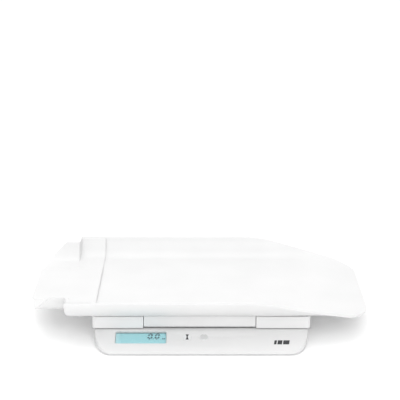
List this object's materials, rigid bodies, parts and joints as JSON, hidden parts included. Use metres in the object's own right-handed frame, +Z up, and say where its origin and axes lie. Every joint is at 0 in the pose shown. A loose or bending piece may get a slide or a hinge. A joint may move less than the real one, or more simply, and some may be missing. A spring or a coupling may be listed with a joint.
{
  "type": "animal weighing scale",
  "caption": "Low digital table scale with a long dish tray that lifts off, a sliding tray extension, a sloping display panel and a battery bay.",
  "frame": {"origin": "on the standing surface, under the middle of the whole object at rest", "axes": "+X along the tray towards its low open end, -Y towards the display, +Z up"},
  "size_m": [0.56, 0.3401, 0.0815],
  "materials": {
    "tray_abs": "satin moulded ABS",
    "housing_abs": "satin moulded ABS",
    "button_abs": "matt moulded ABS",
    "window_clear": "polished clear acrylic",
    "lcd_glass": "display glass",
    "light_guide": "frosted acrylic light guide",
    "pressed_steel": "zinc-plated pressed steel",
    "screw_steel": "zinc-plated",
    "contact_steel": "nickel-plated spring steel",
    "cell_aluminium": "clear anodised",
    "silicone": "white silicone",
    "foot_rubber": "matt grey rubber",
    "battery_can": "plain printed sleeve",
    "switch_plastic": "moulded",
    "board_laminate": "solder-masked laminate",
    "lead_pvc": "grey PVC sheath"
  },
  "bodies": {
    "base": {"platform_cover": "housing_abs", "platform_frame": "pressed_steel", "platform_screws": "screw_steel", "load_cell": "cell_aluminium", "gauge_seals": "silicone", "spacer_lower": "pressed_steel", "spacer_upper": "pressed_steel", "cell_screws_lower": "screw_steel", "cell_screws_upper": "screw_steel", "anchor_plate": "pressed_steel", "anchor_screws": "screw_steel", "overload_stops": "screw_steel", "base_upper": "housing_abs", "base_lower": "housing_abs", "base_screws": "screw_steel", "rubber_feet": "foot_rubber", "batteries": "battery_can", "battery_contacts": "contact_steel", "display_window": "window_clear", "display_glass": "lcd_glass", "backlight": "light_guide", "switches": "switch_plastic", "main_board": "board_laminate", "board_parts": "switch_plastic", "board_screws": "screw_steel", "sensor_lead": "lead_pvc", "battery_lead": "lead_pvc"},
    "tray": {"main_tray": "tray_abs", "tray_tongue": "tray_abs", "tongue_screws": "screw_steel"},
    "extension": {"extension_tray": "tray_abs"},
    "power_key": {"power_button": "button_abs", "power_plunger": "switch_plastic"},
    "tare_key": {"tare_button": "button_abs", "tare_plunger": "switch_plastic"},
    "door": {"battery_door": "housing_abs"}
  },
  "joints": [
    {"name": "tray_lift", "type": "slide", "parent": "base", "child": "tray", "axis": [0, 0, 1], "range_m": [0, 0.08]},
    {"name": "extension_slide", "type": "slide", "parent": "tray", "child": "extension", "axis": [1, 0, 0], "range_m": [0, 0.055]},
    {"name": "power_press", "type": "slide", "parent": "base", "child": "power_key", "axis": [0, 0.3032, -0.9529], "range_m": [0, 0.0008], "stiffness_N_per_m": 600, "springref_m": -0.001},
    {"name": "tare_press", "type": "slide", "parent": "base", "child": "tare_key", "axis": [0, 0.3032, -0.9529], "range_m": [0, 0.0008], "stiffness_N_per_m": 600, "springref_m": -0.001},
    {"name": "door_slide", "type": "slide", "parent": "base", "child": "door", "axis": [0, 1, 0], "range_m": [0, 0.06]}
  ]
}
